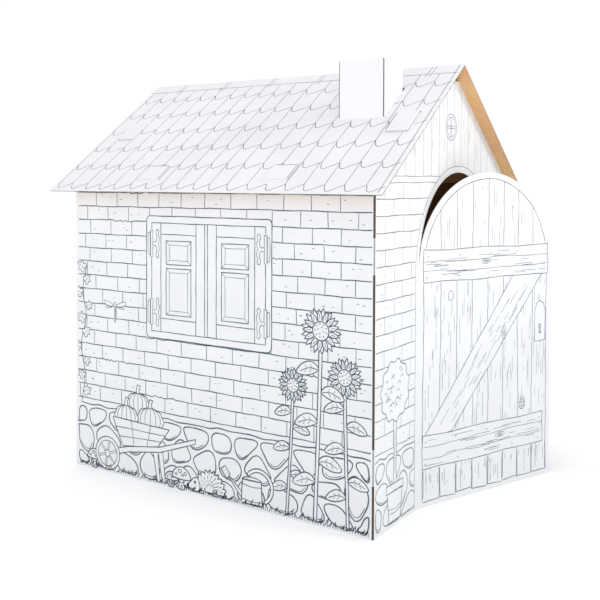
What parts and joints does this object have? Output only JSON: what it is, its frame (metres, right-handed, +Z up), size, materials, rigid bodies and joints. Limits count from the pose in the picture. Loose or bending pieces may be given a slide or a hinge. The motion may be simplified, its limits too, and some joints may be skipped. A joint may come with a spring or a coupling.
{
  "type": "cardboard playhouse",
  "caption": "Child's playhouse folded from corrugated board: box walls, arched doorway with its leaf swung out, pitched roof held by tabs through slots, and a small open chimney.",
  "frame": {"origin": "middle of the whole part's floor area, on the floor, with the door leaf standing open", "axes": "+X to the right as seen from in front of the doorway, +Y back along the ridge, +Z up"},
  "size_m": [0.9018, 1.1856, 1.097],
  "materials": {
    "printed_board": "white-faced corrugated board with a slate blue line print, bare kraft inside",
    "white_board": "plain white-faced corrugated board, bare kraft inside"
  },
  "bodies": {
    "root": {"front_and_left_wall": "printed_board", "rear_and_right_wall": "printed_board", "roof": "printed_board", "chimney": "white_board"}
  },
  "joints": []
}
